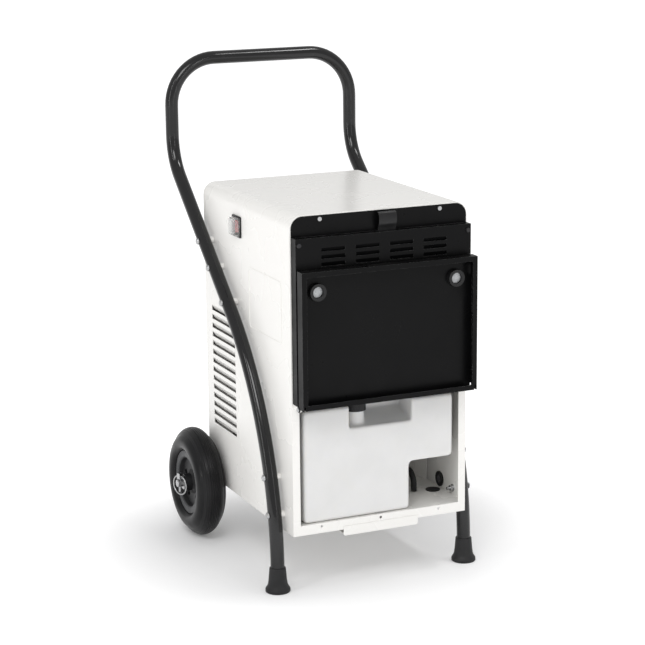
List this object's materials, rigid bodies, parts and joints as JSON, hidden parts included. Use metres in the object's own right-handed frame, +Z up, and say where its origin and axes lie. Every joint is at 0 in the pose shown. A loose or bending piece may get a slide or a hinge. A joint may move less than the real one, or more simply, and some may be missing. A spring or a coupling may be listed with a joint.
{
  "type": "dehumidifier",
  "caption": "Wheeled building-site dehumidifier: sheet-metal cabinet in a bent tube frame, inlet louvres with filter, hinged tank door and slide-out water tank.",
  "frame": {"origin": "on the floor, in the middle of the rectangle that the machine covers", "axes": "+Z up, +Y from the inlet and tank door towards the handle, X across the machine along the axle"},
  "size_m": [0.4906, 0.5862, 0.9142],
  "materials": {
    "white_enamel": "glossy powder coat",
    "black_enamel": "satin powder coat",
    "black_tube": "glossy powder coat",
    "rubber_black": "matt moulded rubber",
    "black_plastic": "satin moulding",
    "filter_net": "woven plastic net",
    "zinc_steel": "bright zinc plate",
    "black_screw": "black oxide",
    "tyre_rubber": "satin rubber",
    "rim_grey": "satin moulding",
    "bush_bronze": "sintered",
    "magnet_grey": "satin",
    "tank_polythene": "natural translucent polythene",
    "grey_plastic": "satin moulding",
    "fin_aluminium": "mill finish",
    "copper": "drawn copper tube",
    "compressor_black": "stoved black",
    "galvanised": "galvanised sheet",
    "capacitor_can": "drawn can",
    "switch_red": "gloss moulding",
    "clear_boot": "clear flexible vinyl"
  },
  "bodies": {
    "chassis": {"cabinet_shell": "white_enamel", "back_panel": "white_enamel", "base_tray": "white_enamel", "under_channel": "white_enamel", "rear_partition": "white_enamel", "hinge_ears": "white_enamel", "front_plate": "black_enamel", "inlet_housing": "black_enamel", "handle_frame": "black_tube", "rubber_feet": "rubber_black", "rubber_grommets": "rubber_black", "compressor_mounts": "rubber_black", "drain_hose": "rubber_black", "switch_body": "black_plastic", "cable_gland": "black_plastic", "control_box": "black_plastic", "reed_switch": "black_plastic", "frame_bolts": "zinc_steel", "frame_nuts": "zinc_steel", "frame_spacers": "white_enamel", "front_screws": "zinc_steel", "axle": "zinc_steel", "axle_washers": "zinc_steel", "linch_pins": "zinc_steel", "hinge_pins": "zinc_steel", "axle_brackets": "zinc_steel", "black_screws": "black_screw", "drip_tray": "grey_plastic", "evaporator_fins": "fin_aluminium", "condenser_fins": "fin_aluminium", "evaporator_tube": "copper", "condenser_tube": "copper", "refrigerant_pipes": "copper", "accumulator": "compressor_black", "compressor": "compressor_black", "fan_motor": "compressor_black", "fan_shroud": "galvanised", "capacitor": "capacitor_can", "switch_boot": "clear_boot"},
    "wheel_left": {"tyre_left": "tyre_rubber", "rim_left": "rim_grey", "wheel_bush_left": "bush_bronze"},
    "wheel_right": {"tyre_right": "tyre_rubber", "rim_right": "rim_grey", "wheel_bush_right": "bush_bronze"},
    "linch_ring_left": {"linch_ring_left": "zinc_steel"},
    "linch_ring_right": {"linch_ring_right": "zinc_steel"},
    "door": {"door_panel": "black_enamel", "magnet_cups": "black_plastic", "door_magnets": "magnet_grey"},
    "filter": {"filter_frame": "black_plastic", "filter_mesh": "filter_net", "filter_tab": "black_plastic"},
    "tank": {"water_tank": "tank_polythene", "float_pin": "zinc_steel"},
    "cap": {"tank_cap": "black_plastic"},
    "float": {"tank_float": "tank_polythene"},
    "fan": {"fan_shaft": "zinc_steel", "fan_impeller": "black_plastic"},
    "rocker": {"switch_rocker": "switch_red"}
  },
  "joints": [
    {"name": "wheel_left_spin", "type": "hinge", "parent": "chassis", "child": "wheel_left", "pos_m": [-0.2027, 0.1495, 0.1045], "axis": [1, 0, 0], "continuous": true},
    {"name": "wheel_right_spin", "type": "hinge", "parent": "chassis", "child": "wheel_right", "pos_m": [0.2027, 0.1495, 0.1045], "axis": [1, 0, 0], "continuous": true},
    {"name": "linch_ring_left_flip", "type": "hinge", "parent": "chassis", "child": "linch_ring_left", "pos_m": [-0.2375, 0.1495, 0.119], "axis": [-0.342, 0.9397, 0], "range_deg": [0, 110]},
    {"name": "linch_ring_right_flip", "type": "hinge", "parent": "chassis", "child": "linch_ring_right", "pos_m": [0.2375, 0.1495, 0.119], "axis": [-0.342, -0.9397, 0], "range_deg": [0, 110]},
    {"name": "door_hinge", "type": "hinge", "parent": "chassis", "child": "door", "pos_m": [0, -0.2711, 0.348], "axis": [-1, 0, 0], "range_deg": [-180, 0]},
    {"name": "filter_slide", "type": "slide", "parent": "chassis", "child": "filter", "axis": [0, 0, 1], "range_m": [0, 0.292]},
    {"name": "tank_slide", "type": "slide", "parent": "chassis", "child": "tank", "axis": [0, -1, 0], "range_m": [0, 0.2]},
    {"name": "cap_turn", "type": "hinge", "parent": "tank", "child": "cap", "pos_m": [-0.036, -0.2161, 0.32], "axis": [0, 0, 1], "range_deg": [0, 360]},
    {"name": "float_swing", "type": "hinge", "parent": "tank", "child": "float", "pos_m": [0.105, -0.0971, 0.312], "axis": [1, 0, 0], "range_deg": [-55, 0]},
    {"name": "fan_spin", "type": "hinge", "parent": "chassis", "child": "fan", "pos_m": [0, -0.0951, 0.505], "axis": [0, 1, 0], "continuous": true},
    {"name": "rocker_tilt", "type": "hinge", "parent": "chassis", "child": "rocker", "pos_m": [-0.167, -0.0061, 0.626], "axis": [0, 1, 0], "range_deg": [0, 12]}
  ]
}
